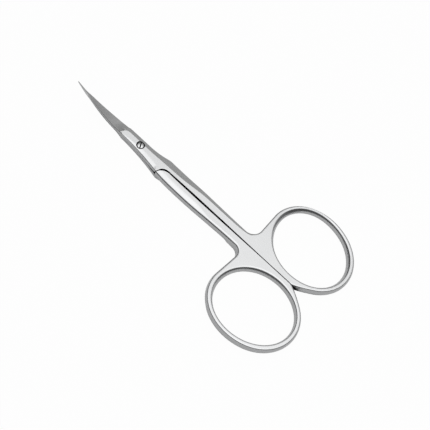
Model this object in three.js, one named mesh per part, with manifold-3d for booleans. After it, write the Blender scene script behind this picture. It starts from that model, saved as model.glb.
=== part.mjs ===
import * as THREE from 'three';
import { mergeVertices } from 'three/addons/utils/BufferGeometryUtils.js';
import Module from 'manifold-3d';

// Nail scissors with curved blades, lying closed on a flat surface. Sizes are in millimetres.
// +X runs from the blade tips to the finger rings, +Y to the upper half's ring, and +Z is up.
// The pivot axis is the Z axis, and z = 0 is the surface that the scissors lie on.

// Stock
const thickness = 2.85;           // rings, shanks and the closed joint
const sideBulge = 0.3;            // how far the rounded sides stand out at mid height
const sideFlat = 0.55;            // upright flat at mid height, between the rounded parts
const curveSteps = 20;            // along each curve of the handle
const lapSteps = 5;               // along each curve of the joint
const roundSteps = 3;             // over the rounded sides

// Finger rings
const ringCentreX = 52.12;        // from the pivot
const ringLand = 1.78;            // metal between the closing line and the ring's hole
const ringHoleLength = 24.15;
const ringHoleWidth = 19.95;
const ringTurn = THREE.MathUtils.degToRad(-9.8);
const ringBand = 0.72;            // flat top of the ring

// Shanks
const shankFront = 2.8;           // half width of the closed pair at the joint
const shankBelly = 3.25;          // pull of the curve behind the joint
const shankNeck = 2.35;           // half width ahead of the rings
const neckFillet = 3.1;
const webSetback = 0.6;           // fillet's ring side, behind the ring's front
const slitWidthFront = 0.5;       // daylight between the closed shanks at the joint
const slitWidthRear = 0.28;       // daylight where the rings meet
const slitFront = -0.3;           // closing line at the joint, measured towards the upper ring
const slitRear = -0.08;           // closing line where the rings meet
const meetSetback = 0.3;          // from where the rings part to the ring's centre
const stopBlend = THREE.MathUtils.degToRad(-40); // round the ring, where the stop's curve joins it

// Joint
const lapRadius = 8.5;            // joint plate's round end, about the pivot
const lapGap = 0.2;               // between that end and the other half's shank
const shankCorner = 2.9;          // shank's rounded corner at the lap
const plateCorner = 2.2;          // joint plate's hollow corner round the other half's
const halfGap = 0.1;              // from the parting surface to each half
const shoulderX = -5.9;           // shoulder where the blade's ground face starts
const noseLength = 0.7;           // flat land ahead of the shoulder
const noseY = -0.65;

// Sides of the closed joint, ground flush on both halves: half width, then the flare's start and pull
const upperSide = { reach: 1.9, flareSetback: 8.8, pullX: 6.6 };
const lowerSide = { reach: 1.3, flareSetback: 0.4, pullX: 0 };

// Ground bevel along the upper half's side, narrowing to a chamfer along its shank
const bevelFront = 0.68;          // from the middle of the scissors to the bevel's edge, at the blade
const bevelJoint = 0.9;           // the same behind the joint
const bevelRail = 1.86;           // the same along the chamfer
const bevelStraight = 13.5;       // where the edge starts to sweep out
const railStart = 23;
const railEnd = 33;
const railRunOut = 0.4;           // sideways drift for each millimetre behind the chamfer
const bevelDrop = 0.52;           // fall for each millimetre outwards

// Blades
const tipReach = 23.9;            // pivot to tip
const bendStart = 4;              // the blades are flat within this radius of the pivot
const bendRadius = 46;            // upward bend beyond it
const bladeBelly = 0.02;          // swell of the sides ahead of the shoulder
const spineWaist = 0.86;          // spine side's reach two thirds of the way to the tip
const edgeWaist = 0.36;           // cutting edge's reach there
const tipHalfWidth = 0.05;
const rootDepth = 0.8;            // length of the blade's root inside the joint plate
const rootInset = 0.06;           // root's sides inside the joint plate's
const rootStep = 0.2;             // from the joint plate's top down to the spine
const tipSpine = 0.3;             // spine's height at the tip
const edgeHeight = 0.12;          // cutting edge
const bladeSteps = 16;

// Pivot screw
const threadRadius = 0.65;
const shoulderStep = 0.1;         // shoulder beyond the thread
const headRim = 0.2;              // head beyond the shoulder
const headHeight = 0.8;
const headDome = 0.2;
const headGroove = 0.3;           // open groove round the head
const slotWidth = 0.36;
const slotDepth = 0.45;
const slotTurn = THREE.MathUtils.degToRad(119);
const turningFit = 0.06;          // round the shoulder and the thread
const seatGap = 0.1;              // under the head and under the shoulder
const screwSides = 40;

const wasm = await Module();
wasm.setup();

const partingHeight = thickness / 2;
const sideRound = (thickness - sideFlat) / 2;
const farAway = tipReach + ringCentreX + ringHoleLength;
const handleFront = lapRadius + lapGap / 2;
const plateEnd = lapRadius - lapGap / 2;
const ringCentreY = ringLand + ringHoleWidth / 2;
const ringRadiusX = ringHoleLength / 2 + ringBand;
const ringRadiusY = ringHoleWidth / 2 + ringBand;
const ringFront = Math.PI - Math.atan(Math.tan(ringTurn) * ringRadiusY / ringRadiusX);
const ringsMeet = ringCentreX - meetSetback;
const noseX = shoulderX - noseLength;
const shoulderRadius = threadRadius + shoulderStep;
const headRadius = shoulderRadius + headRim;

function toSolid(geometry) {
  const bare = geometry.clone();
  bare.deleteAttribute('normal');
  bare.deleteAttribute('uv');
  const merged = mergeVertices(bare);
  const vertProperties = new Float32Array(merged.attributes.position.array);
  const triVerts = new Uint32Array(merged.index.array);
  return new wasm.Manifold(new wasm.Mesh({ numProp: 3, vertProperties, triVerts }));
}

function toMesh(name, solid, color, roughness) {
  const { vertProperties, triVerts } = solid.getMesh();
  const geometry = new THREE.BufferGeometry();
  geometry.setAttribute('position', new THREE.BufferAttribute(new Float32Array(vertProperties), 3));
  geometry.setIndex(new THREE.BufferAttribute(new Uint32Array(triVerts), 1));
  geometry.computeVertexNormals();
  const material = new THREE.MeshStandardMaterial({ color, roughness, metalness: 1 });
  const mesh = new THREE.Mesh(geometry, material);
  mesh.name = name;
  return mesh;
}

// Closed solid through matching rings of points, each ring turning left about the way they advance.
function loft(rings) {
  const count = rings[0].length;
  const index = [];
  for (let ring = 0; ring + 1 < rings.length; ring += 1) {
    for (let i = 0; i < count; i += 1) {
      const here = ring * count + i;
      const next = ring * count + (i + 1) % count;
      index.push(here, next, here + count);
      index.push(next, next + count, here + count);
    }
  }
  const last = (rings.length - 1) * count;
  for (let i = 1; i + 1 < count; i += 1) {
    index.push(0, i + 1, i);
    index.push(last, last + i, last + i + 1);
  }
  const geometry = new THREE.BufferGeometry().setFromPoints(rings.flat());
  geometry.setIndex(index);
  return geometry;
}

function upright(shape, low, high) {
  const geometry = new THREE.ExtrudeGeometry(shape, {
    depth: high - low,
    bevelEnabled: false,
    curveSegments: lapSteps,
  });
  return toSolid(geometry.translate(0, 0, low));
}

function round(radius, low, high) {
  const geometry = new THREE.CylinderGeometry(radius, radius, high - low, screwSides);
  return toSolid(geometry.rotateX(Math.PI / 2).translate(0, 0, (low + high) / 2));
}

function ringPoint(angle) {
  const point = new THREE.Vector2(ringRadiusX * Math.cos(angle), ringRadiusY * Math.sin(angle));
  return point.rotateAround(new THREE.Vector2(), ringTurn).add(new THREE.Vector2(ringCentreX, ringCentreY));
}

function ringHeading(angle) {
  const heading = new THREE.Vector2(-ringRadiusX * Math.sin(angle), ringRadiusY * Math.cos(angle));
  return heading.rotateAround(new THREE.Vector2(), ringTurn);
}

// Each half is built with its own ring towards +Y and its joint plate on top.
// half.slitSign turns the closing line's offset over, half.own and half.far are the joint's two sides,
// and half.bendSign is the way the blade bends.
function slitCentre(half, x) {
  const share = THREE.MathUtils.clamp((x - handleFront) / (ringsMeet - handleFront), 0, 1);
  return half.slitSign * THREE.MathUtils.lerp(slitFront, slitRear, share);
}

// Shank, web and ring at full height, still uncut along the closing line and at the joint.
function handleBlank(half) {
  const trim = sideBulge + slitWidthFront;
  const low = slitCentre(half, ringsMeet) - trim;
  const stopPoint = ringPoint(stopBlend);
  const stopHeading = ringHeading(stopBlend);
  const stopPull = stopPoint.x - (stopPoint.y - low) * stopHeading.x / stopHeading.y;
  const webX = ringPoint(ringFront).x + webSetback;
  const filletX = webX - neckFillet;
  const filletY = shankNeck + neckFillet;
  const blankFront = handleFront - shankFront;
  const third = (filletX - blankFront) / 3;
  const shape = new THREE.Shape();
  shape.moveTo(blankFront, low);
  shape.lineTo(ringsMeet, low);
  shape.quadraticCurveTo(stopPull, low, stopPoint.x, stopPoint.y);
  shape.absellipse(
    ringCentreX, ringCentreY, ringRadiusX, ringRadiusY, stopBlend, ringFront, false, ringTurn,
  );
  shape.lineTo(webX, filletY);
  shape.absarc(filletX, filletY, neckFillet, 0, -Math.PI / 2, true);
  shape.bezierCurveTo(filletX - third, shankNeck, blankFront + third, shankBelly, blankFront, shankFront);
  shape.closePath();
  const hole = new THREE.Path();
  hole.absellipse(
    ringCentreX, ringCentreY, ringHoleLength / 2, ringHoleWidth / 2, 0, Math.PI * 2, true, ringTurn,
  );
  shape.holes.push(hole);
  const geometry = new THREE.ExtrudeGeometry(shape, {
    depth: thickness - 2 * sideRound,
    bevelThickness: sideRound,
    bevelSize: sideBulge,
    bevelSegments: roundSteps,
    curveSegments: curveSteps,
  });
  return toSolid(geometry.translate(0, 0, sideRound));
}

// Everything ahead of the handle's round front end and across the closing line from it.
function clearedSpace(half) {
  const edgeFront = slitCentre(half, handleFront) + slitWidthFront / 2;
  const edgeRear = slitCentre(half, ringsMeet) + slitWidthRear / 2;
  const cornerY = edgeFront + shankCorner;
  const cornerX = Math.sqrt((handleFront + shankCorner) ** 2 - cornerY ** 2);
  const cornerAngle = Math.atan2(cornerY, cornerX);
  const shape = new THREE.Shape();
  shape.moveTo(-farAway, -farAway);
  shape.lineTo(farAway, -farAway);
  shape.lineTo(farAway, edgeRear);
  shape.lineTo(ringsMeet, edgeRear);
  shape.lineTo(cornerX, edgeFront);
  shape.absarc(cornerX, cornerY, shankCorner, -Math.PI / 2, cornerAngle - Math.PI, true);
  shape.absarc(0, 0, handleFront, cornerAngle, Math.PI / 2, false);
  shape.lineTo(-farAway, handleFront);
  shape.closePath();
  return upright(shape, -thickness, 2 * thickness);
}

// Flat plate that carries the pivot and ends in the round lap against the other half's shank.
function jointPlate(half) {
  const edge = slitCentre(half, handleFront) + slitWidthFront / 2;
  const cornerY = edge - plateCorner;
  const cornerX = Math.sqrt((plateEnd + plateCorner) ** 2 - cornerY ** 2);
  const cornerAngle = Math.atan2(cornerY, cornerX);
  const lapStart = -Math.asin(shankFront / plateEnd);
  const lapStartX = plateEnd * Math.cos(lapStart);
  const inside = cornerX + plateCorner;
  const { own, far } = half;
  const shape = new THREE.Shape();
  shape.moveTo(shoulderX, -far.reach);
  shape.lineTo(shoulderX + far.flareSetback, -far.reach);
  shape.quadraticCurveTo(far.pullX, -far.reach, lapStartX, -shankFront);
  shape.absarc(0, 0, plateEnd, lapStart, cornerAngle, false);
  shape.absarc(cornerX, cornerY, plateCorner, cornerAngle + Math.PI, Math.PI / 2, true);
  shape.lineTo(inside, edge + slitWidthFront);
  shape.lineTo(inside, own.reach);
  shape.lineTo(handleFront, shankFront + sideBulge);
  shape.quadraticCurveTo(own.pullX, own.reach, shoulderX + own.flareSetback, own.reach);
  shape.lineTo(shoulderX, own.reach);
  shape.quadraticCurveTo(shoulderX, noseY / 2, noseX, noseY);
  shape.quadraticCurveTo(noseX, -far.reach, shoulderX, -far.reach);
  return upright(shape, partingHeight + halfGap, thickness);
}

function bladeRise(x, y) {
  const beyond = Math.max(Math.hypot(x, y) - bendStart, 0);
  return bendRadius - Math.sqrt(bendRadius ** 2 - beyond ** 2);
}

// Wedge from a tall spine on the far side to the cutting edge on the half's own side.
function blade(half) {
  const root = shoulderX + rootDepth;
  const third = (tipReach + root) / 3;
  const side = (reach, waist) => new THREE.CubicBezierCurve(
    new THREE.Vector2(root, reach - rootInset),
    new THREE.Vector2(root - third, reach + bladeBelly),
    new THREE.Vector2(root - 2 * third, waist),
    new THREE.Vector2(-tipReach, tipHalfWidth),
  );
  const ownSide = side(half.own.reach, edgeWaist);
  const farSide = side(half.far.reach, spineWaist);
  const rootSpine = thickness - partingHeight - halfGap - rootStep;
  const rings = [];
  for (let step = bladeSteps; step >= 0; step -= 1) {
    const share = step / bladeSteps;
    const own = ownSide.getPoint(share);
    const far = farSide.getPoint(share);
    const spine = THREE.MathUtils.lerp(rootSpine, tipSpine, share);
    const seat = (x, y) => partingHeight + halfGap + half.bendSign * bladeRise(x, y);
    const ownZ = seat(own.x, own.y);
    const farZ = seat(far.x, far.y);
    rings.push([
      new THREE.Vector3(own.x, own.y, ownZ),
      new THREE.Vector3(own.x, own.y, ownZ + edgeHeight),
      new THREE.Vector3(far.x, -far.y, farZ + spine),
      new THREE.Vector3(far.x, -far.y, farZ),
    ]);
  }
  return toSolid(loft(rings));
}

// Material ground off the top along the half's own side.
function groundBevel() {
  const outside = shankBelly + 2 * sideBulge;
  const runOutEnd = railEnd + outside;
  const section = (x, edge) => [
    new THREE.Vector3(x, edge - outside, thickness + bevelDrop * outside),
    new THREE.Vector3(x, edge + outside, thickness - bevelDrop * outside),
    new THREE.Vector3(x, edge + outside, thickness + bevelDrop * outside),
  ];
  return toSolid(loft([
    section(noseX, bevelFront),
    section(bevelStraight, bevelJoint),
    section(railStart, bevelRail),
    section(railEnd, bevelRail),
    section(runOutEnd, bevelRail + railRunOut * (runOutEnd - railEnd)),
  ]));
}

function forging(half) {
  const handle = handleBlank(half).subtract(clearedSpace(half));
  return handle.add(jointPlate(half)).add(blade(half));
}

function upperHalf() {
  const half = { slitSign: 1, own: upperSide, far: lowerSide, bendSign: 1 };
  const bore = round(shoulderRadius + turningFit, 0, 2 * thickness);
  const recess = round(headRadius + headGroove, thickness - headHeight - seatGap, 2 * thickness);
  const solid = forging(half).subtract(groundBevel()).subtract(bore).subtract(recess);
  return toMesh('upper_half', solid, 0xd6d8d9, 0.28);
}

function lowerHalf() {
  const half = { slitSign: -1, own: lowerSide, far: upperSide, bendSign: -1 };
  const bore = round(threadRadius + turningFit, 0, 2 * thickness);
  const mesh = toMesh('lower_half', forging(half).subtract(bore), 0xd6d8d9, 0.28);
  mesh.rotation.x = Math.PI;
  mesh.position.z = thickness;
  return mesh;
}

function pivotScrew() {
  const shoulderBottom = partingHeight - halfGap + seatGap;
  const headBottom = thickness - headHeight;
  const profile = [
    new THREE.Vector2(0, 0),
    new THREE.Vector2(threadRadius, 0),
    new THREE.Vector2(threadRadius, shoulderBottom),
    new THREE.Vector2(shoulderRadius, shoulderBottom),
    new THREE.Vector2(shoulderRadius, headBottom),
    new THREE.Vector2(headRadius, headBottom),
    new THREE.Vector2(headRadius, thickness - headDome),
    new THREE.Vector2(headRadius / 2, thickness - headDome / 4),
    new THREE.Vector2(0, thickness),
  ];
  const body = toSolid(new THREE.LatheGeometry(profile, screwSides).rotateX(Math.PI / 2));
  const slot = new THREE.BoxGeometry(4 * headRadius, slotWidth, 2 * slotDepth);
  slot.rotateZ(slotTurn).translate(0, 0, thickness);
  return toMesh('pivot_screw', body.subtract(toSolid(slot)), 0xcfd1d2, 0.25);
}

const scissors = new THREE.Group();
scissors.add(upperHalf(), lowerHalf(), pivotScrew());

export default scissors;
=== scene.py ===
import math

import bmesh
import bpy
from mathutils import Matrix, Vector


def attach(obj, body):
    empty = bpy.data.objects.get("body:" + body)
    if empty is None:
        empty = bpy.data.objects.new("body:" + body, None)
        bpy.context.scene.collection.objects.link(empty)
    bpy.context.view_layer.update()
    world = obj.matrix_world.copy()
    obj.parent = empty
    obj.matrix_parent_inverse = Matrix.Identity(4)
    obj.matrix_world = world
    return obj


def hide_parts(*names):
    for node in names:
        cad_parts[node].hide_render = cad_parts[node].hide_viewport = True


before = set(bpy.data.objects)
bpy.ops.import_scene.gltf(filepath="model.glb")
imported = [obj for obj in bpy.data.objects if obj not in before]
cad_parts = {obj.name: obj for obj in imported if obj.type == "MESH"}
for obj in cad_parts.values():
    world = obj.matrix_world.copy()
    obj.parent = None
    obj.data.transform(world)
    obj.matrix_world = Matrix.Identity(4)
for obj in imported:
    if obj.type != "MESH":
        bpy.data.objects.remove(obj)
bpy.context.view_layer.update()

mm = 0.001    # sizes are in millimetres, and each finished mesh is scaled to metres


# Node trees, with their maths written as expressions

class Wire:
    def __init__(self, tree, socket):
        self.tree = tree
        self.socket = socket

    def maths(self, operation, *others):
        inputs = dict(enumerate((self,) + others))
        return wire(self.tree, "ShaderNodeMath", {"operation": operation}, inputs)

    def flipped(self, operation, other):
        return wire(self.tree, "ShaderNodeMath", {"operation": operation}, {0: other, 1: self})

    def __add__(self, other):
        return self.maths("ADD", other)

    def __sub__(self, other):
        return self.maths("SUBTRACT", other)

    def __mul__(self, other):
        return self.maths("MULTIPLY", other)

    def __truediv__(self, other):
        return self.maths("DIVIDE", other)

    def __radd__(self, other):
        return self.maths("ADD", other)

    def __rsub__(self, other):
        return self.flipped("SUBTRACT", other)

    def __rmul__(self, other):
        return self.maths("MULTIPLY", other)

    def __rtruediv__(self, other):
        return self.flipped("DIVIDE", other)

    def atLeastZero(self):
        return self.maths("MAXIMUM", 0.0)

    def clamped(self):
        return self.atLeastZero().maths("MINIMUM", 1.0)

    def root(self):
        return self.atLeastZero().maths("SQRT")

    def squared(self):
        return self.maths("MULTIPLY", self)


def addNode(tree, kind, settings=None, inputs=None):
    node = tree.nodes.new(kind)
    for name, value in (settings or {}).items():
        setattr(node, name, value)
    for name, value in (inputs or {}).items():
        if isinstance(value, Wire):
            tree.links.new(value.socket, node.inputs[name])
        else:
            node.inputs[name].default_value = value
    return node


def wire(tree, kind, settings=None, inputs=None, output=0):
    return Wire(tree, addNode(tree, kind, settings, inputs).outputs[output])


def newGroup(name, sizes):
    tree = bpy.data.node_groups.new(name, "GeometryNodeTree")
    tree.interface.new_socket("Geometry", in_out="INPUT", socket_type="NodeSocketGeometry")
    tree.interface.new_socket("Geometry", in_out="OUTPUT", socket_type="NodeSocketGeometry")
    sockets = {}
    for size in sizes:
        socket = tree.interface.new_socket(size, in_out="INPUT", socket_type="NodeSocketFloat")
        sockets[size] = socket.identifier
    start = addNode(tree, "NodeGroupInput")
    given = {socket.name: Wire(tree, socket) for socket in start.outputs if socket.name}
    return tree, sockets, given


def endGroup(tree, geometry, material):
    real = wire(tree, "GeometryNodeRealizeInstances", None, {"Geometry": geometry})
    done = wire(tree, "GeometryNodeSetMaterial", None, {"Geometry": real, "Material": material})
    addNode(tree, "NodeGroupOutput", None, {"Geometry": done})


# Finishes, where along and across are the grain's marks for each metre

brushing = {"detail": 3.0, "roughness": 0.6, "share": 0.55, "middle": 0.5, "bumpReach": 0.0001,
            "cloudScale": 260.0, "cloudDetail": 2.0}
# painted shade: a near-black diffuse that takes over where ambient occlusion finds a face closed in
paintedGapShade = {"samples": 12, "closedBelow": 0.55, "fade": 0.35, "shade": 0.012}    # deep in narrow gaps

flatFinish = {"name": "satinFlats", "colour": (0.72, 0.725, 0.73), "darker": (0.63, 0.635, 0.64),
              "roughness": 0.3, "spread": 0.1, "along": 180.0, "across": 5200.0, "depth": 0.05}
groundFinish = {"name": "groundFaces", "colour": (0.72, 0.725, 0.725), "darker": (0.63, 0.635, 0.635),
                "roughness": 0.27, "spread": 0.09, "along": 7000.0, "across": 420.0, "depth": 0.08}
# the sides' darker colour is partly a duller forged finish and partly painted shade for the dark surroundings
# that the upright walls reflect
sideFinish = {"name": "forgedSidesWithPaintedShade", "colour": (0.6, 0.605, 0.61), "darker": (0.52, 0.525, 0.53),
              "roughness": 0.18, "spread": 0.08, "along": 900.0, "across": 2600.0, "depth": 0.04}
# the side finish with painted shade that darkens it deep in narrow gaps
gapShadedFinish = {**sideFinish, "name": "closingFacesPaintedShade", "paintedShadeReach": 0.002}
screwFinish = {"name": "screwSteel", "colour": (0.72, 0.725, 0.73), "darker": (0.62, 0.625, 0.63),
               "roughness": 0.2, "spread": 0.06, "along": 3000.0, "across": 3000.0, "depth": 0.03}


def steel(look):
    material = bpy.data.materials.new(look["name"])
    material.use_nodes = True
    tree = material.node_tree
    shader = tree.nodes["Principled BSDF"]
    place = wire(tree, "ShaderNodeTexCoord", output="Object")
    stretch = (look["along"], look["across"], look["across"])
    stretched = wire(tree, "ShaderNodeMapping", None, {"Vector": place, "Scale": stretch})
    grain = wire(tree, "ShaderNodeTexNoise", None,
                 {"Vector": stretched, "Scale": 1.0, "Detail": brushing["detail"],
                  "Roughness": brushing["roughness"]}, "Fac")
    cloud = wire(tree, "ShaderNodeTexNoise", None,
                 {"Vector": place, "Scale": brushing["cloudScale"],
                  "Detail": brushing["cloudDetail"]}, "Fac")
    tone = grain * brushing["share"] + cloud * (1 - brushing["share"])
    colour = wire(tree, "ShaderNodeMix", {"data_type": "RGBA"},
                  {"Factor": tone, "A": (*look["darker"], 1.0), "B": (*look["colour"], 1.0)}, "Result")
    tree.links.new(colour.socket, shader.inputs["Base Color"])
    middle = brushing["middle"]
    rough = look["roughness"] + (grain - middle) * look["spread"] + (cloud - middle) * look["spread"]
    tree.links.new(rough.socket, shader.inputs["Roughness"])
    shader.inputs["Metallic"].default_value = 1.0
    bump = wire(tree, "ShaderNodeBump", None,
                {"Strength": look["depth"], "Distance": brushing["bumpReach"], "Height": grain}, "Normal")
    tree.links.new(bump.socket, shader.inputs["Normal"])
    # painted shade: where ambient occlusion finds the face deep in a narrow gap, the steel is mixed towards a
    # near-black diffuse
    if "paintedShadeReach" in look:
        openness = wire(tree, "ShaderNodeAmbientOcclusion", {"samples": paintedGapShade["samples"]},
                        {"Distance": look["paintedShadeReach"]}, "AO")
        share = ((openness - paintedGapShade["closedBelow"]) / paintedGapShade["fade"]).clamped()
        shade = paintedGapShade["shade"]
        paintedDark = wire(tree, "ShaderNodeBsdfDiffuse", None, {"Color": (shade, shade, shade, 1.0)})
        both = {0: share, 1: paintedDark, 2: Wire(tree, shader.outputs["BSDF"])}
        mixed = wire(tree, "ShaderNodeMixShader", None, both)
        tree.links.new(mixed.socket, tree.nodes["Material Output"].inputs["Surface"])
    return material


flatSteel = steel(flatFinish)
groundSteel = steel(groundFinish)
sideSteel = steel(sideFinish)
gapShadedSteel = steel(gapShadedFinish)
screwSteel = steel(screwFinish)
print("finishes made")


# Outlines, each half drawn with its own ring towards +Y and its joint plate on top

thickness = 2.85    # stock of the rings, the shanks and the closed joint
parting = thickness / 2

ring = {"centreX": 52.12, "land": 1.78, "holeLength": 24.15, "holeWidth": 19.95,
        "turn": math.radians(-9.8), "band": 0.72, "steps": 140, "holeSteps": 192}

shank = {"blankFront": 5.8, "blankDepth": 0.6,    # blank, before it is cut along the closing line
         "stopRun": 3, "stopDrop": 0.66, "stopBlend": math.radians(-40), "headingTurn": 0.001,
         "slitFront": -0.3, "slitRear": -0.08, "meetSetback": 0.3,
         "slitWidths": [(8.6, 0.42), (11, 0.43), (14, 0.57), (20.5, 0.64), (30, 0.55), (36, 0.42),
                        (46, 0.25)],
         "lowSteps": 4, "stopSteps": 30, "webSteps": 10, "filletSteps": 24, "sideSteps": 90,
         "slitSteps": 60}

joint = {"gap": 0.06, "lap": 8.6, "lapGap": 0.1, "lapY": 2.68, "lapRound": 0.55,
         "shankCorner": 3.2, "plateCorner": 2.2,
         "shankRound": 0.2, "roundFrom": 1.7, "roundSpan": 1.1,    # outer side of the shank's front end
         "shoulder": -5.9, "shoulderSetback": 0.2, "nose": 0.62, "noseY": -0.65, "nosePull": 0.85,
         "tongueStep": 0.2, "tongueSteps": 8, "tongueLift": 0.01,    # strip along the shank's closing edge
         "rootRun": 1, "rootLow": 0.5, "rootHigh": 0.4,    # plate's root inside the shank
         "flareRun": 0.6, "flareDip": 0.05,
         "sideSteps": 60, "lapSteps": 16, "roundSteps": 8, "cornerSteps": 20, "frontSteps": 60,
         "flareSteps": 30, "shoulderSteps": 16, "noseSteps": 10}

# crowns, swells and drafts go by X, and pinch, corner and heel are places round the ring

upper = {"sign": 1, "onTop": True,
         "own": {"reach": 1.98, "belly": -0.2, "waist": 0.26,    # plate and blade on the ring's side
                 "pulls": [(7.7, 3.3), (7.0, 2.15)], "flareEnd": 2.5},
         "far": {"reach": 1.3, "belly": 0.0, "waist": 0.95, "pulls": [(0.6, 1.44)], "flareEnd": -5.5},
         "front": 2.95, "belly": 2.78, "neck": 2.35, "flareX": 9.4, "wide": 0.27,    # shank's side
         "fillet": 3.22, "webSetback": 0.42,    # corner between the shank and the ring
         "crowns": [(34, 0.15), (42, 0.2)], "swells": [(40, 0.13), (46, 0.65)], "drafts": [(0, 0)],
         "holeEdge": 0.5, "pinch": 0.85, "pinchLip": 0.35,
         "cornerTurn": math.radians(135), "cornerLip": 0.36, "cornerSwell": 0.45,
         "heelTurn": math.radians(20), "heel": 0.28, "heelLip": 0.2, "heelSwell": 0.65}

lower = {"sign": -1, "onTop": False,
         "own": {"reach": 1.19, "belly": 0.46, "waist": 0.75, "pulls": [(2.2, 1.48)], "flareEnd": -5.5},
         "far": {"reach": 1.6, "belly": 0.0, "waist": 0.34, "pulls": [(5.6, 1.6)], "flareEnd": 1.6},
         "front": 2.38, "belly": 3.7, "neck": 2.34, "flareX": 8.3, "wide": 0.3,
         "fillet": 2.6, "webSetback": 0.4,
         "crowns": [(22, 1.3), (28, 0.25), (38, 0.3), (42, 0.2)],
         "swells": [(24, 0.43), (34, 0.43), (40, 0.13), (46, 0.65)],
         "drafts": [(33.5, 0), (35, 0.3), (38, 0.35), (43, 0)],
         "holeEdge": 0.35, "pinch": 0.5, "pinchLip": 0.3,
         "cornerTurn": math.radians(250), "cornerLip": 0.12, "cornerSwell": 0.45,
         "heelTurn": math.radians(33), "heel": 0.28, "heelLip": 0.04, "heelSwell": -0.1}

handleFront = joint["lap"] + joint["lapGap"] / 2
plateEnd = joint["lap"] - joint["lapGap"] / 2
ringCentreY = ring["land"] + ring["holeWidth"] / 2
ringX = ring["holeLength"] / 2 + ring["band"]
ringY = ring["holeWidth"] / 2 + ring["band"]
ringFront = math.pi - math.atan(math.tan(ring["turn"]) * ringY / ringX)    # nearest the joint
ringsMeet = ring["centreX"] - shank["meetSetback"]
noseX = joint["shoulder"] - joint["nose"]


def clamp(value):
    return min(max(value, 0), 1)


def between(stations, x):
    if x <= stations[0][0]:
        return stations[0][1]
    for (x0, y0), (x1, y1) in zip(stations, stations[1:]):
        if x <= x1:
            share = (x - x0) / (x1 - x0)
            return y0 + (y1 - y0) * share * share * (3 - 2 * share)
    return stations[-1][1]


def straight(start, end, count):
    return [Vector(start).lerp(Vector(end), step / count) for step in range(1, count + 1)]


def bezier(controls, count):
    points = []
    for step in range(1, count + 1):
        t = step / count
        level = [Vector(p) for p in controls]
        while len(level) > 1:
            level = [a.lerp(b, t) for a, b in zip(level, level[1:])]
        points.append(level[0])
    return points


def arc(centre, radius, start, end, count):
    points = []
    for step in range(count + 1):
        angle = start + (end - start) * step / count
        points.append(Vector((centre[0] + radius * math.cos(angle), centre[1] + radius * math.sin(angle))))
    return points


def ringPoint(angle, radiusX, radiusY):
    x = radiusX * math.cos(angle)
    y = radiusY * math.sin(angle)
    c = math.cos(ring["turn"])
    s = math.sin(ring["turn"])
    return Vector((ring["centreX"] + x * c - y * s, ringCentreY + x * s + y * c))


def slitCentre(half, x):
    share = clamp((x - handleFront) / (ringsMeet - handleFront))
    return half["sign"] * (shank["slitFront"] + (shank["slitRear"] - shank["slitFront"]) * share)


def closingEdge(half, x):
    return slitCentre(half, x) + between(shank["slitWidths"], x) / 2


def webX(half):    # straight stretch between the neck's fillet and the ring
    return ringPoint(ringFront, ringX, ringY).x + half["webSetback"]


def shankSide(half):
    filletX = webX(half) - half["fillet"]
    front = shank["blankFront"]
    third = (filletX - front) / 3
    side = bezier([(filletX, half["neck"]), (filletX - third, half["neck"]),
                   (front + third, half["belly"]), (front, half["front"])], shank["sideSteps"])
    return [point for point in side if point.x > half["flareX"]]


def flare(half):
    own = half["own"]
    start = shankSide(half)[-1] + Vector((0, half["wide"]))
    return [start] + bezier([start] + own["pulls"] + [(own["flareEnd"], own["reach"])], joint["flareSteps"])


def handleOutline(half):
    front = shank["blankFront"]
    turnLow = slitCentre(half, ringsMeet) - shank["stopDrop"]
    low = turnLow - shank["blankDepth"]
    turnX = ringsMeet - shank["stopRun"]
    blend = shank["stopBlend"]
    stop = ringPoint(blend, ringX, ringY)
    ahead = ringPoint(blend + shank["headingTurn"], ringX, ringY) - stop
    pull = stop.x - (stop.y - turnLow) * ahead.x / ahead.y
    filletY = half["neck"] + half["fillet"]
    points = [Vector((front, low))]
    points += straight((front, low), (turnX, low), shank["lowSteps"])
    points += straight((turnX, low), (ringsMeet, turnLow), shank["lowSteps"])
    points += bezier([(ringsMeet, turnLow), (pull, turnLow), stop], shank["stopSteps"])
    for step in range(1, ring["steps"] + 1):
        points.append(ringPoint(blend + (ringFront - blend) * step / ring["steps"], ringX, ringY))
    points += straight(points[-1], (webX(half), filletY), shank["webSteps"])
    filletCentre = (webX(half) - half["fillet"], filletY)
    points += arc(filletCentre, half["fillet"], 0, -math.pi / 2, shank["filletSteps"])[1:]
    points += shankSide(half)
    points += [point - Vector((0, half["wide"])) for point in flare(half)[1:] if point.x > front]
    return points


def holeOutline():
    count = ring["holeSteps"]
    return [ringPoint(-math.tau * step / count, ring["holeLength"] / 2, ring["holeWidth"] / 2)
            for step in range(count)]


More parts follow.
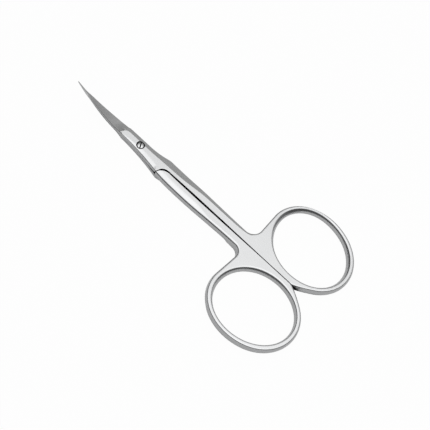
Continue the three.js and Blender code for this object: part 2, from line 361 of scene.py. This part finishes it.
def plateOutline(half):
    own, far = half["own"], half["far"]
    radius = joint["plateCorner"]
    edge = closingEdge(half, handleFront)
    cornerY = edge - radius
    cornerX = math.sqrt((plateEnd + radius) ** 2 - cornerY ** 2)
    cornerAngle = math.atan2(cornerY, cornerX)
    lapStart = -math.asin(joint["lapY"] / plateEnd)
    lapCorner = Vector((plateEnd * math.cos(lapStart), -joint["lapY"]))
    shoulder = joint["shoulder"]
    farPulls = [(x, -y) for x, y in far["pulls"]]
    points = [Vector((shoulder + joint["shoulderSetback"], -far["reach"])),
              Vector((far["flareEnd"], -far["reach"]))]
    side = bezier([points[-1]] + farPulls + [lapCorner], joint["sideSteps"])
    points += [point for point in side if (point - lapCorner).length > joint["lapRound"]]
    lap = arc((0, 0), plateEnd, lapStart + joint["lapRound"] / plateEnd, cornerAngle, joint["lapSteps"])
    points += bezier([points[-1], lapCorner, lap[0]], joint["roundSteps"]) + lap[1:]
    points += arc((cornerX, cornerY), radius, cornerAngle + math.pi, math.pi / 2, joint["cornerSteps"])[1:]
    for step in range(1, joint["tongueSteps"] + 1):
        x = cornerX + joint["tongueStep"] * step
        points.append(Vector((x, closingEdge(half, x) + joint["tongueLift"])))
    inside = points[-1].x + joint["rootRun"]
    points += [Vector((inside, edge + joint["rootLow"])),
               Vector((inside, half["front"] - joint["rootHigh"]))]
    sweep = flare(half)
    points += [sweep[0] + Vector((joint["flareRun"], -joint["flareDip"]))] + sweep
    points += [Vector((shoulder, own["reach"]))]
    points += bezier([(shoulder, own["reach"]), (shoulder, joint["noseY"] / 2), (noseX, joint["noseY"])],
                     joint["shoulderSteps"])
    nosePull = (noseX, -joint["nosePull"] * far["reach"])
    points += bezier([points[-1], nosePull, points[0]], joint["noseSteps"])[:-1]
    return points


def clearedOutline(half):    # what the other half takes up, across the closing line
    farAway = 120
    radius = joint["shankCorner"]
    edgeFront = closingEdge(half, handleFront)
    cornerY = edgeFront + radius
    cornerX = math.sqrt((handleFront + radius) ** 2 - cornerY ** 2)
    cornerAngle = math.atan2(cornerY, cornerX)
    points = [Vector((-farAway, -farAway)), Vector((farAway, -farAway)),
              Vector((farAway, closingEdge(half, ringsMeet)))]
    for step in range(shank["slitSteps"] + 1):
        x = ringsMeet + (cornerX - ringsMeet) * step / shank["slitSteps"]
        points.append(Vector((x, closingEdge(half, x))))
    cornerCentre = (cornerX, points[-1].y + radius)
    points += arc(cornerCentre, radius, -math.pi / 2, cornerAngle - math.pi, joint["cornerSteps"])[1:]
    for point in arc((0, 0), handleFront, cornerAngle, math.pi / 2, joint["frontSteps"])[1:]:
        share = clamp((point.y - joint["roundFrom"]) / joint["roundSpan"])
        points.append(point * (1 + joint["shankRound"] * share ** 2 / handleFront))
    points += [Vector((-farAway, points[-1].y))]
    return points


# Solids from outlines, where rows gives the offset and the height of each point up the side

def newObject(name, mesh):
    piece = bpy.data.objects.new(name, mesh)
    bpy.context.scene.collection.objects.link(piece)
    return piece


def outward(points):
    count = len(points)
    normals = []
    for i in range(count):
        way = (points[(i + 1) % count] - points[i - 1]).normalized()
        normals.append(Vector((way.y, -way.x)))
    return normals


def meshObject(name, bm):
    bmesh.ops.recalc_face_normals(bm, faces=bm.faces[:])
    mesh = bpy.data.meshes.new(name)
    bm.to_mesh(mesh)
    bm.free()
    return newObject(name, mesh)


def rolledSolid(name, loops, low):
    bm = bmesh.new()
    capEdges = ([], [])
    for points, rows in loops:
        grid = []
        for point, normal in zip(points, outward(points)):
            column = []
            for offset, height in rows(point):
                at = point + normal * offset
                column.append(bm.verts.new((at.x, at.y, low + height)))
            grid.append(column)
        for i, column in enumerate(grid):
            following = grid[(i + 1) % len(grid)]
            for k in range(len(column) - 1):
                bm.faces.new((column[k], following[k], following[k + 1], column[k + 1]))
            capEdges[0].append(bm.edges.get((column[0], following[0])))
            capEdges[1].append(bm.edges.get((column[-1], following[-1])))
    for edges in capEdges:
        bmesh.ops.triangle_fill(bm, edges=edges, use_beauty=True)
    return meshObject(name, bm)


def prism(name, points, low, high):
    return rolledSolid(name, [(points, lambda point: [(0, 0), (0, high - low)])], low)


def combine(base, tool, operation):
    cut = base.modifiers.new("cut", "BOOLEAN")
    cut.operation = operation
    cut.solver = "MANIFOLD"
    cut.object = tool
    shaped = base.evaluated_get(bpy.context.evaluated_depsgraph_get())
    mesh = bpy.data.meshes.new_from_object(shaped)
    base.modifiers.remove(cut)
    base.data = mesh
    bpy.data.objects.remove(tool)
    print("  ", operation, len(mesh.polygons))


def grow(name, tree, sockets, values, mesh):
    piece = newObject(name, mesh)
    grower = piece.modifiers.new("grow", "NODES")
    grower.node_group = tree
    for size, value in values.items():
        grower[sockets[size]] = value
    shaped = piece.evaluated_get(bpy.context.evaluated_depsgraph_get())
    result = bpy.data.meshes.new_from_object(shaped)
    piece.modifiers.remove(grower)
    piece.data = result
    return closeMesh(piece)


def closeMesh(piece):
    weld = 1e-5
    bm = bmesh.new()
    bm.from_mesh(piece.data)
    bmesh.ops.remove_doubles(bm, verts=bm.verts[:], dist=weld)
    bmesh.ops.recalc_face_normals(bm, faces=bm.faces[:])
    bm.to_mesh(piece.data)
    bm.free()
    return piece


# Softened edges, with a lip and a rounding that change along the handle and round the ring's hole

soften = {"slope": math.tan(math.radians(9.6)), "crownEase": 0.52,
          "crownParts": (0, 0.05, 0.12, 0.22, 0.35, 0.5, 0.65, 0.82, 1),
          "lips": [(14, 0.27), (22, 0.24), (34, 0.24), (42, 0.04)],
          "edges": [(8, 0.58), (14, 0.62), (22, 0.7), (34, 0.7), (42, 0.3)],
          "steepest": math.radians(80), "edgeSteps": 8, "flankSteps": 6,
          "underEdge": 0.3, "underCrown": 0.2,
          "holeLip": 0.2, "holeSwell": 0.65, "facingX": -0.45, "facingY": 0.89, "lobePower": 4}

plateEdge = {"crown": 1.1, "leastCrown": 0.1, "round": 0.07, "farRound": 0.3, "steps": 6,
             "crownStart": 0.6, "crownGrowth": 8, "crownEnd": 8.0, "crownFade": 1.1}


def crownFall(part):
    ease = soften["crownEase"]
    return part ** 2 / (2 * ease) if part < ease else ease / 2 + part - ease


def crownRows(outer, width, height):
    rows = []
    for part in soften["crownParts"]:
        rows.append((outer - width * (1 - part), height - soften["slope"] * width * crownFall(part)))
    return rows


def edgeRows(crown, lip, radius, swell):
    rows = crownRows(-lip, crown, 0)
    offset, height = rows[-1]
    start = math.atan(soften["slope"])
    end = min(math.atan2(thickness / 2 - radius / 2, swell), soften["steepest"])
    for step in range(1, soften["edgeSteps"] + 1):
        lean = start + (end - start) * step / soften["edgeSteps"]
        rows.append((offset + radius * (math.sin(lean) - math.sin(start)),
                     height - radius * (math.cos(start) - math.cos(lean))))
    return rows


def lobe(value):    # full where value is 1, and soon gone away from there
    return max(value, 0) ** soften["lobePower"]


def barrelRows(half, inHole):
    def rows(point):
        lip = between(soften["lips"], point.x)
        radius = between(soften["edges"], point.x)
        swell = between(half["swells"], point.x)
        away = (point - Vector((ring["centreX"], ringCentreY))).normalized()
        around = math.atan2(away.y, away.x)
        heel = lobe(math.cos(around - half["heelTurn"]))
        if inHole:
            facing = max(away.y * soften["facingY"] * half["sign"] + away.x * soften["facingX"], 0)
            corner = lobe(math.cos(around - half["cornerTurn"]))
            pinch = lobe(-away.x)
            lip += (soften["holeLip"] * facing + half["cornerLip"] * corner - half["pinchLip"] * pinch
                    + half["heelLip"] * heel)
            radius += half["holeEdge"] * facing
            swell = (soften["holeSwell"] + half["pinch"] * pinch + half["cornerSwell"] * corner
                     + half["heelSwell"] * heel)
        else:
            lip -= half["heel"] * heel
        face = edgeRows(between(half["crowns"], point.x), lip, radius, swell)
        underLip = lip - between(half["drafts"], point.x)
        under = edgeRows(soften["underCrown"], underLip, soften["underEdge"], swell)
        above, below = (face, under) if half["onTop"] else (under, face)
        above = [(offset, thickness + height) for offset, height in above]
        below = [(offset, -height) for offset, height in below]
        widest = (max(above[-1][0], below[-1][0]) + swell, (above[-1][1] + below[-1][1]) / 2)
        flank = bezier([below[-1], widest, above[-1]], soften["flankSteps"])
        return below + [tuple(place) for place in flank] + above[-2::-1]
    return rows


def plateRows(half, height):
    def rows(point):
        growth = clamp((point.x - noseX - plateEdge["crownStart"]) / plateEdge["crownGrowth"])
        fade = clamp((plateEdge["crownEnd"] - point.x) / plateEdge["crownFade"])
        share = growth * fade * (half["onTop"] and point.y < 0)
        crown = plateEdge["leastCrown"] + (plateEdge["crown"] - plateEdge["leastCrown"]) * share
        small = plateEdge["round"] + (plateEdge["farRound"] - plateEdge["round"]) * share
        top = crownRows(-small, crown, height)
        low = top[-1][1]
        for step in range(1, plateEdge["steps"] + 1):
            angle = math.pi / 2 * (1 - step / plateEdge["steps"])
            top.append((-small + small * math.cos(angle), low - small + small * math.sin(angle)))
        return [(0, 0)] + top[::-1]
    return rows


# Chamfer ground along the upper half, cut by a long wedge that follows its edge

bevel = {"drop": 0.52, "inside": 1.2, "outside": 2.9, "line": 0.2, "steps": 5,
         "edge": [(-6.5, -0.7), (-6.33, -0.33), (-5.72, 0.26), (-5.2, 0.53), (-4.6, 0.64),    # round the nose
                  (-3.5, 0.66), (4, 0.63), (8.4, 0.78),    # along the joint
                  (14, 0.93), (16.6, 1.13), (20.7, 1.58), (22, 1.7), (24, 1.75), (33.5, 1.82),
                  (36, 1.97), (37.4, 2.18), (38.6, 2.65), (39.8, 5)]}    # shank, then out over its neck


def bevelPath():
    stations = [Vector(point) for point in bevel["edge"]]
    last = len(stations) - 1
    path = [stations[0]]
    for i in range(last):
        start, end = stations[i], stations[i + 1]
        third = (end - start).length / 3
        leave = (end - stations[max(i - 1, 0)]).normalized() * third
        arrive = (stations[min(i + 2, last)] - start).normalized() * third
        path += bezier([start, start + leave, end - arrive, end], bevel["steps"])
    return path


def bevelWedge():
    path = bevelPath()
    last = len(path) - 1
    top = thickness + bevel["drop"] * bevel["inside"]
    bottom = thickness - bevel["drop"] * bevel["outside"]
    bm = bmesh.new()
    loops = []
    for i, point in enumerate(path):
        way = (path[min(i + 1, last)] - path[max(i - 1, 0)]).normalized()
        normal = Vector((-way.y, way.x))
        inner = point - normal * bevel["inside"]
        outer = point + normal * bevel["outside"]
        corners = ((inner.x, inner.y, top), (outer.x, outer.y, bottom), (outer.x, outer.y, top))
        loops.append([bm.verts.new(corner) for corner in corners])
    for here, there in zip(loops, loops[1:]):
        for i in range(3):
            following = (i + 1) % 3
            bm.faces.new((here[i], here[following], there[following], there[i]))
    bm.faces.new(loops[0])
    bm.faces.new(loops[-1])
    bmesh.ops.triangulate(bm, faces=bm.faces[:])
    return meshObject("bevelWedge", bm)


# Blade, a ruled wedge that bends up about the pivot, scooped where it leaves the joint plate

blade = {"tip": 23.9, "tipHalf": 0.05, "bendStart": 4.0, "bendRadius": 46.0,
         "rootDepth": 0.8, "rootStep": 0.16,
         "rootSpine": 0.66, "fullSpine": 0.26, "tipSpine": 0.3, "edge": 0.12, "scoop": 3.2, "chamfer": 1.15,
         "tipLean": 0.17, "leanFrom": 0.68, "leanSpan": 0.18,
         "tipHollow": 1.2, "hollowFrom": 0.72, "hollowSpan": 0.13, "rows": 150, "columns": 28}


def bladeSizes(half):
    own, far = half["own"], half["far"]
    return {"Tip": blade["tip"], "Root": joint["shoulder"] + blade["rootDepth"],
            "Own reach": own["reach"], "Own belly": own["belly"], "Own waist": own["waist"],
            "Far reach": far["reach"], "Far belly": far["belly"], "Far waist": far["waist"],
            "Tip half width": blade["tipHalf"], "Root height": parting - joint["gap"] - blade["rootStep"],
            "Root spine": blade["rootSpine"], "Full spine": blade["fullSpine"],
            "Tip spine": blade["tipSpine"], "Edge height": blade["edge"], "Seat": parting + joint["gap"],
            "Bend start": blade["bendStart"], "Bend radius": blade["bendRadius"],
            "Bend sign": float(half["sign"]), "Shoulder": joint["shoulder"],
            "Nose": joint["nose"], "Nose Y": joint["noseY"], "Scoop": blade["scoop"],
            "Bevel drop": bevel["drop"] * half["onTop"], "Bevel line": bevel["line"],
            "Chamfer": blade["chamfer"], "Tip lean": blade["tipLean"] * half["sign"],
            "Tip hollow": blade["tipHollow"]}


def bladeGroup():
    tree, sockets, given = newGroup("bentBlade", bladeSizes(upper))
    block = wire(tree, "GeometryNodeMeshCube", None,
                 {"Size": (1, 1, 1), "Vertices X": blade["rows"], "Vertices Y": blade["columns"],
                  "Vertices Z": 2})
    place = wire(tree, "GeometryNodeInputPosition")
    parts = addNode(tree, "ShaderNodeSeparateXYZ", None, {"Vector": place})
    along = 0.5 - Wire(tree, parts.outputs["X"])    # 0 at the root, 1 at the tip
    across = Wire(tree, parts.outputs["Y"]) + 0.5    # 0 at the own edge, 1 at the far one
    above = Wire(tree, parts.outputs["Z"]) + 0.5
    rest = 1 - along

    def side(name):
        reach = given[name + " reach"]
        return (reach * rest * rest * rest
                + (reach + given[name + " belly"]) * 3 * rest * rest * along
                + given[name + " waist"] * 3 * rest * along * along
                + given["Tip half width"] * along * along * along)

    x = given["Root"] - (given["Root"] + given["Tip"]) * along
    own = side("Own")
    far = side("Far")
    late = ((along - blade["leanFrom"]) / blade["leanSpan"]).clamped()
    y = own - (own + far) * across - given["Tip lean"] * late.squared() * (3 - late * 2)
    reach = (x.squared() + y.squared()).root()
    beyond = (reach - given["Bend start"]).atLeastZero()
    rise = given["Bend radius"] - (given["Bend radius"].squared() - beyond.squared()).root()
    seat = given["Seat"] + given["Bend sign"] * rise
    spine = (given["Root spine"] + (given["Tip spine"] - given["Root spine"]) * along
             + given["Full spine"] * 4 * along * rest)
    nearTip = ((along - blade["hollowFrom"]) / blade["hollowSpan"]).clamped()
    sunk = across.maths("POWER", 1 + given["Tip hollow"] * nearTip)
    wedge = given["Edge height"] + (spine - given["Edge height"]) * sunk
    ownReach = given["Own reach"]
    fall = ownReach * 2 - given["Nose Y"]    # with back, how far down the nose's curve y lies
    back = (fall - (fall.squared() - ownReach * 4 * (ownReach - y)).root()) / (ownReach * 2)
    shoulder = given["Shoulder"] - given["Nose"] * back.clamped().squared()
    ahead = ((shoulder - x) / given["Scoop"]).clamped()
    scooped = (1 - ahead).squared()
    root = given["Root height"] - given["Bevel drop"] * (y - given["Bevel line"]).atLeastZero()
    lastColumn = (blade["columns"] - 2) / (blade["columns"] - 1)
    corner = given["Chamfer"] * (own + far) * (across - lastColumn).atLeastZero()
    height = wedge + (root - wedge) * scooped - corner
    z = seat + height * above
    spot = wire(tree, "ShaderNodeCombineXYZ", None, {"X": x, "Y": y, "Z": z})
    shaped = wire(tree, "GeometryNodeSetPosition", None, {"Geometry": block, "Position": spot})
    endGroup(tree, shaped, groundSteel)
    return tree, sockets


bladeTree, bladeSockets = bladeGroup()


def bladePiece(half):
    return grow("blade", bladeTree, bladeSockets, bladeSizes(half), bpy.data.meshes.new("blade"))


# Pivot screw, a turned profile with a driver slot

screw = {"thread": 0.65, "chamfer": 0.12, "shoulder": 0.75, "head": 0.92, "headHeight": 0.8,
         "dome": 0.12, "rim": 0.1, "rimTurn": math.radians(79.2), "groove": 0.3, "fit": 0.06, "seat": 0.1,
         "slotWidth": 0.36, "slotDepth": 0.45, "slotTurn": math.radians(119),
         "sides": 96, "boreSides": 72, "rimSteps": 6, "domeSteps": 10, "pathRadius": 1.0, "weld": 1e-4,
         "slotReach": 0.01, "slotLow": 0.6, "slotHigh": 0.03, "rimReach": 0.02, "sharp": math.radians(25)}

screwSizes = {"Slot width": screw["slotWidth"], "Slot depth": screw["slotDepth"],
              "Slot length": 4 * screw["head"], "Slot turn": screw["slotTurn"], "Top": thickness}


def bore(radius, low):
    return prism("bore", arc((0, 0), radius, 0, math.tau, screw["boreSides"])[:-1], low, 2 * thickness)


def screwProfile():
    thread, shoulder, head, rim = screw["thread"], screw["shoulder"], screw["head"], screw["rim"]
    seat = parting - joint["gap"] + screw["seat"]
    under = thickness - screw["headHeight"]
    rimBase = thickness - screw["dome"] - rim
    points = [(0, 0), (thread - screw["chamfer"], 0), (thread, screw["chamfer"]), (thread, seat),
              (shoulder, seat), (shoulder, under), (head, under), (head, rimBase)]
    for step in range(1, screw["rimSteps"] + 1):
        angle = screw["rimTurn"] * step / screw["rimSteps"]
        points.append((head - rim * (1 - math.cos(angle)), rimBase + rim * math.sin(angle)))
    inner, height = points[-1]
    for step in range(1, screw["domeSteps"] + 1):
        r = inner * (1 - step / screw["domeSteps"])
        points.append((r, height + (thickness - height) * (1 - (r / inner) ** 2)))
    mesh = bpy.data.meshes.new("screwProfile")
    places = [(r - screw["pathRadius"], -z, 0) for r, z in points]    # measured from the swept path
    mesh.from_pydata(places, [(i, i + 1) for i in range(len(points) - 1)], [])
    return mesh


def screwGroup():
    tree, sockets, given = newGroup("slottedScrew", screwSizes)
    profile = wire(tree, "GeometryNodeMeshToCurve", None, {"Mesh": given["Geometry"]})
    path = wire(tree, "GeometryNodeCurvePrimitiveCircle", None,
                {"Resolution": screw["sides"], "Radius": screw["pathRadius"]})
    turned = wire(tree, "GeometryNodeCurveToMesh", None, {"Curve": path, "Profile Curve": profile})
    closed = wire(tree, "GeometryNodeMergeByDistance", None,
                  {"Geometry": turned, "Distance": screw["weld"]})
    size = wire(tree, "ShaderNodeCombineXYZ", None,
                {"X": given["Slot length"], "Y": given["Slot width"], "Z": given["Slot depth"] * 2})
    place = wire(tree, "ShaderNodeCombineXYZ", None, {"Z": given["Top"]})
    turn = wire(tree, "ShaderNodeCombineXYZ", None, {"Z": given["Slot turn"]})
    block = wire(tree, "GeometryNodeMeshCube", None, {"Size": size})
    slot = wire(tree, "GeometryNodeTransform", None,
                {"Geometry": block, "Translation": place, "Rotation": turn})
    cut = wire(tree, "GeometryNodeMeshBoolean", {"operation": "DIFFERENCE", "solver": "EXACT"},
               {"Mesh 1": closed, "Mesh 2": slot})
    endGroup(tree, cut, screwSteel)
    return tree, sockets


def finishScrew(piece):
    mesh = piece.data
    mesh.materials.clear()
    for material in (screwSteel, gapShadedSteel):
        mesh.materials.append(material)
    acrossSlot = Vector((-math.sin(screw["slotTurn"]), math.cos(screw["slotTurn"]), 0))
    # the slot's walls and the head's rim take the steel with painted shade in narrow gaps
    for polygon in mesh.polygons:
        polygon.use_smooth = True
        centre = polygon.center
        nearSlot = abs(centre.dot(acrossSlot)) < screw["slotWidth"] / 2 + screw["slotReach"]
        inSlot = nearSlot and screw["slotHigh"] < thickness - centre.z < screw["slotLow"]
        onRim = math.hypot(centre.x, centre.y) > screw["head"] - screw["rimReach"]
        polygon.material_index = 1 if inSlot or onRim else 0
    mesh.set_sharp_from_angle(angle=screw["sharp"])
    mesh.transform(Matrix.Scale(mm, 4))
    print(piece.name, len(mesh.polygons), "faces")


# Halves, each forged, bored and then finished face by face

closing = {"recessReach": 0.02, "recessDepth": 0.1, "steepest": 0.3,    # recess and upright walls
           "slideDown": 0.9, "slideLow": 0.5, "slideHigh": 2, "slideFront": -5.5,    # plate's sliding face
           "lapRadial": 0.7, "lapFrom": 7, "lapTo": 11.5, "lapReach": 0.9,
           "cornerFrom": 7.5, "cornerTo": 12.5, "cornerTop": 0.5, "cornerReach": 2.6,
           "slitFrom": 8, "slitReach": 0.03, "crotchRun": 1, "crotchTop": 4, "holeRim": 1.04}

sorting = {"weld": 2e-4, "sliver": 1e-4, "flat": 0.95, "level": 0.99999, "smooth": math.radians(20),
           "bladeStart": 0.05, "bladeUp": 0.2,
           "bevelAlike": 0.8, "bevelLow": 0.85, "bevelHigh": 0.92, "bevelEnd": 41}

halfSteels = {"flat": flatSteel, "ground": groundSteel, "side": sideSteel, "closing": gapShadedSteel}


def forging(name, half):
    loops = [(handleOutline(half), barrelRows(half, False)), (holeOutline(), barrelRows(half, True))]
    handle = rolledSolid(name, loops, 0)
    combine(handle, prism("cleared", clearedOutline(half), -thickness, 2 * thickness), "DIFFERENCE")
    low = parting + joint["gap"]
    plate = rolledSolid("plate", [(plateOutline(half), plateRows(half, thickness - low))], low)
    combine(handle, plate, "UNION")
    if half["onTop"]:
        combine(handle, bevelWedge(), "DIFFERENCE")
    combine(handle, bladePiece(half), "UNION")
    return handle


# faces that take the steel with painted shade in narrow gaps: the screw's recess, the plate's sliding face,
# the lap, the corner beside the slit, the slit's walls and the crotch between the rings
def isClosingFace(half, centre, normal):
    reach = math.hypot(centre.x, centre.y)
    recess = screw["head"] + screw["groove"] + closing["recessReach"]
    if reach < recess and centre.z < thickness - closing["recessDepth"]:
        return True
    if abs(normal.z) > closing["steepest"]:
        onPlate = closing["slideLow"] < centre.z < closing["slideHigh"] and centre.x > closing["slideFront"]
        return normal.z < -closing["slideDown"] and onPlate
    radial = abs(normal.x * centre.x + normal.y * centre.y) > closing["lapRadial"] * reach
    nearLap = closing["lapFrom"] < centre.x < closing["lapTo"]
    onLap = nearLap and abs(reach - joint["lap"]) < closing["lapReach"] and radial
    nearCorner = closing["cornerFrom"] < centre.x < closing["cornerTo"]
    besideCorner = centre.y * half["sign"] < closing["cornerTop"] and abs(centre.y) < closing["cornerReach"]
    fromEdge = abs(centre.y - closingEdge(half, centre.x))
    onSlit = centre.x > closing["slitFrom"] and fromEdge < closing["slitReach"]
    fromRing = Vector((centre.x - ring["centreX"], centre.y - ringCentreY))
    fromRing = Matrix.Rotation(-ring["turn"], 2) @ fromRing
    holeShare = math.hypot(fromRing.x * 2 / ring["holeLength"], fromRing.y * 2 / ring["holeWidth"])
    nearCrotch = centre.x > ringsMeet - closing["crotchRun"] and centre.y < closing["crotchTop"]
    onCrotch = nearCrotch and holeShare > closing["holeRim"]
    return onLap or nearCorner and besideCorner or onSlit or onCrotch


def isGround(centre, normal):
    ground = Vector((0, bevel["drop"], 1)).normalized()
    onBlade = centre.x < noseX + sorting["bladeStart"] and normal.z > sorting["bladeUp"]
    leans = sorting["bevelLow"] < normal.z < sorting["bevelHigh"]
    likeBevel = normal.dot(ground) > sorting["bevelAlike"] and leans
    return onBlade or likeBevel and centre.x < sorting["bevelEnd"] and centre.z > parting


def faceKind(half, centre, normal):
    if isGround(centre, normal):
        return "ground"
    if isClosingFace(half, centre, normal):
        return "closing"
    return "flat" if abs(normal.z) > sorting["flat"] else "side"


def finishHalf(piece, half):
    mesh = piece.data
    mesh.materials.clear()
    for material in halfSteels.values():
        mesh.materials.append(material)
    kinds = list(halfSteels)
    bm = bmesh.new()
    bm.from_mesh(mesh)
    bmesh.ops.remove_doubles(bm, verts=bm.verts[:], dist=sorting["weld"])
    bmesh.ops.dissolve_degenerate(bm, edges=bm.edges[:], dist=sorting["sliver"])
    bm.normal_update()
    for face in bm.faces:
        face.smooth = True
        face.material_index = kinds.index(faceKind(half, face.calc_center_median(), face.normal))
    for edge in bm.edges:
        if len(edge.link_faces) == 2:
            one, two = edge.link_faces
            levels = sum(abs(face.normal.z) > sorting["level"] for face in (one, two))
            edge.smooth = one.normal.angle(two.normal, 0) < sorting["smooth"] and levels != 1
    bm.to_mesh(mesh)
    bm.free()
    if not half["onTop"]:
        mesh.transform(Matrix.Translation((0, 0, thickness)) @ Matrix.Rotation(math.pi, 4, "X"))
    mesh.transform(Matrix.Scale(mm, 4))
    mesh.update()
    print(piece.name, len(mesh.polygons), "faces")


upperPiece = forging("upperScissorHalf", upper)
combine(upperPiece, bore(screw["shoulder"] + screw["fit"], -thickness), "DIFFERENCE")
recessFloor = thickness - screw["headHeight"] - screw["seat"]
combine(upperPiece, bore(screw["head"] + screw["groove"], recessFloor), "DIFFERENCE")
finishHalf(upperPiece, upper)

lowerPiece = forging("lowerScissorHalf", lower)
combine(lowerPiece, bore(screw["thread"] + screw["fit"], -thickness), "DIFFERENCE")
finishHalf(lowerPiece, lower)

screwTree, screwSockets = screwGroup()
screwPiece = grow("slottedPivotScrew", screwTree, screwSockets, screwSizes, screwProfile())
finishScrew(screwPiece)

for piece, body, node, slot in ((upperPiece, "upper_half", "upper_half", "half_steel"),
                                (lowerPiece, "lower_half", "lower_half", "half_steel"),
                                (screwPiece, "lower_half", "pivot_screw", "screw_steel")):
    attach(piece, body)
    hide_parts(node)


# Floor, light and camera

studio = {"horizon": 0.1, "behind": 0.31, "overhead": 1.45, "rampStart": 0.68, "rampEnd": 0.98,
          "floorColour": 0.9, "floorLift": 0.97, "floorShine": 0.19, "floorSize": 3.0, "floorDrop": 2e-5}

view = {"place": (70.496, -127.131, 265.473), "azimuth": 18.59, "roll": 26.05, "tilt": 27.0,
        "focal": 1109.0, "frame": 430.0,    # in pixels of the photograph
        "sensor": 36.0, "near": 0.01, "far": 10.0}


def paleFloor():
    material = bpy.data.materials.new("paleFloor")
    material.use_nodes = True
    tree = material.node_tree
    tree.nodes.clear()
    rays = addNode(tree, "ShaderNodeLightPath")
    seen = Wire(tree, rays.outputs["Is Camera Ray"]) + Wire(tree, rays.outputs["Is Transmission Ray"])
    glossy = Wire(tree, rays.outputs["Is Glossy Ray"])
    lift = (seen * studio["floorLift"] + glossy * studio["floorShine"]).clamped()
    shade = studio["floorColour"]
    matt = wire(tree, "ShaderNodeBsdfDiffuse", None, {"Color": (shade, shade, shade, 1)})
    glow = wire(tree, "ShaderNodeEmission", None, {"Color": (1, 1, 1, 1), "Strength": 1.0})
    mixed = wire(tree, "ShaderNodeMixShader", None, {0: lift, 1: matt, 2: glow})
    addNode(tree, "ShaderNodeOutputMaterial", None, {"Surface": mixed})
    half = studio["floorSize"] / 2
    low = -studio["floorDrop"]
    mesh = bpy.data.meshes.new("floor")
    corners = [(-half, -half, low), (half, -half, low), (half, half, low), (-half, half, low)]
    mesh.from_pydata(corners, [], [(0, 1, 2, 3)])
    mesh.materials.append(material)
    newObject("floor", mesh)


def softWorld():    # what the steel reflects, while the camera sees plain white
    world = bpy.data.worlds.new("softStudio")
    bpy.context.scene.world = world
    world.use_nodes = True
    tree = world.node_tree
    tree.nodes.clear()
    direction = wire(tree, "ShaderNodeTexCoord", output="Generated")
    way = addNode(tree, "ShaderNodeSeparateXYZ", None, {"Vector": direction})
    towards = Wire(tree, way.outputs["Y"]).atLeastZero()
    ramp = studio["rampEnd"] - studio["rampStart"]
    up = ((Wire(tree, way.outputs["Z"]) - studio["rampStart"]) / ramp).clamped()
    light = studio["horizon"] + towards * studio["behind"] + up * studio["overhead"]
    rays = addNode(tree, "ShaderNodeLightPath")
    camera = Wire(tree, rays.outputs["Is Camera Ray"])
    strength = light * (1 - camera) + camera
    back = wire(tree, "ShaderNodeBackground", None, {"Color": (1, 1, 1, 1), "Strength": strength})
    addNode(tree, "ShaderNodeOutputWorld", None, {"Surface": back})


def photoCamera():
    data = bpy.data.cameras.new("photoCamera")
    camera = newObject("photoCamera", data)
    azimuth = math.radians(view["azimuth"])
    roll = math.radians(view["roll"])
    tilt = math.radians(view["tilt"])
    right = Vector((math.cos(azimuth), math.sin(azimuth), 0))
    away = Vector((-math.sin(azimuth), math.cos(azimuth), 0))
    up = Vector((0, 0, 1))
    forward = away * math.sin(tilt) - up * math.cos(tilt)
    down = -away * math.cos(tilt) - up * math.sin(tilt)
    axisX = right * math.cos(roll) - down * math.sin(roll)
    axisY = -(right * math.sin(roll) + down * math.cos(roll))
    turned = Matrix((axisX, axisY, -forward)).transposed().to_4x4()
    camera.matrix_world = Matrix.Translation(Vector(view["place"]) * mm) @ turned
    data.sensor_width = view["sensor"]
    data.lens = view["focal"] / view["frame"] * view["sensor"]
    data.clip_start = view["near"]
    data.clip_end = view["far"]
    bpy.context.scene.camera = camera


paleFloor()
softWorld()
photoCamera()
bpy.context.scene.view_settings.view_transform = "Standard"
print("stage set")
